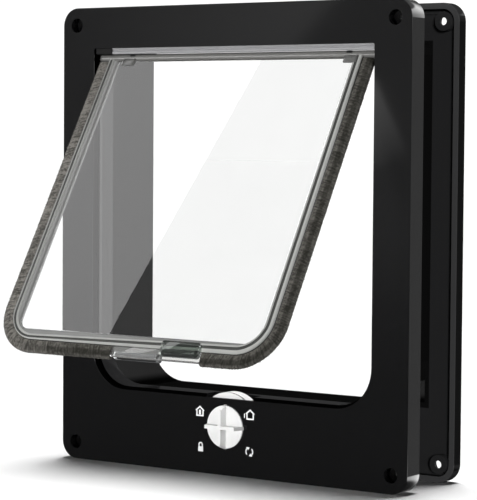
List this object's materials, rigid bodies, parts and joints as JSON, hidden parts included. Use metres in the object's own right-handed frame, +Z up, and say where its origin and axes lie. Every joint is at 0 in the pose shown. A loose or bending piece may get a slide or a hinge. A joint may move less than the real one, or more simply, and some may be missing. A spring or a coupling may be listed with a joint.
{
  "type": "cat flap",
  "caption": "Locking cat flap for a door: hollow front frame, rear frame with a tunnel sleeve, and a clear swinging flap edged with pile strips, with a magnet and a turning lock knob.",
  "frame": {"origin": "centre of the front frame's screw pattern, on the plane where that frame meets the door", "axes": "+X to the right seen from the room, +Y through the door to the garden side, +Z up"},
  "size_m": [0.25, 0.1627, 0.28],
  "materials": {
    "black_gloss": "high gloss black moulding",
    "black_matte": "fine matte black",
    "white_gloss": "smooth white moulding",
    "clear_plastic": "clear polished moulding",
    "satin_bar": "satin silver extrusion",
    "steel": "plain bright steel",
    "grey_pile": "dense brushed pile"
  },
  "bodies": {
    "front": {"front_frame": "black_gloss", "lintel_bar": "satin_bar", "bar_clip": "black_matte", "detent_spring": "steel", "magnet_holder": "black_matte", "frame_magnet": "steel", "holder_screw": "steel"},
    "rear": {"rear_frame": "black_gloss"},
    "flap": {"flap_panel": "clear_plastic", "flap_rail": "clear_plastic", "pile_strip_left": "grey_pile", "pile_strip_right": "grey_pile", "hinge_pin_left": "steel", "hinge_pin_right": "steel", "magnet_cover": "clear_plastic", "flap_magnet": "steel", "grip_block": "clear_plastic"},
    "lock": {"lock_cam": "white_gloss", "lock_knob": "white_gloss", "lock_screw": "steel"}
  },
  "joints": [
    {"name": "flap_hinge", "type": "hinge", "parent": "front", "child": "flap", "pos_m": [0, -0.0078, 0.1086], "axis": [1, 0, 0], "range_deg": [-44, 106]},
    {"name": "lock_turn", "type": "hinge", "parent": "front", "child": "lock", "pos_m": [0, -0.0138, -0.1108], "axis": [0, 1, 0], "continuous": true},
    {"name": "rear_slide", "type": "slide", "parent": "front", "child": "rear", "axis": [0, 1, 0], "range_m": [-0.003, 0.0025]}
  ]
}
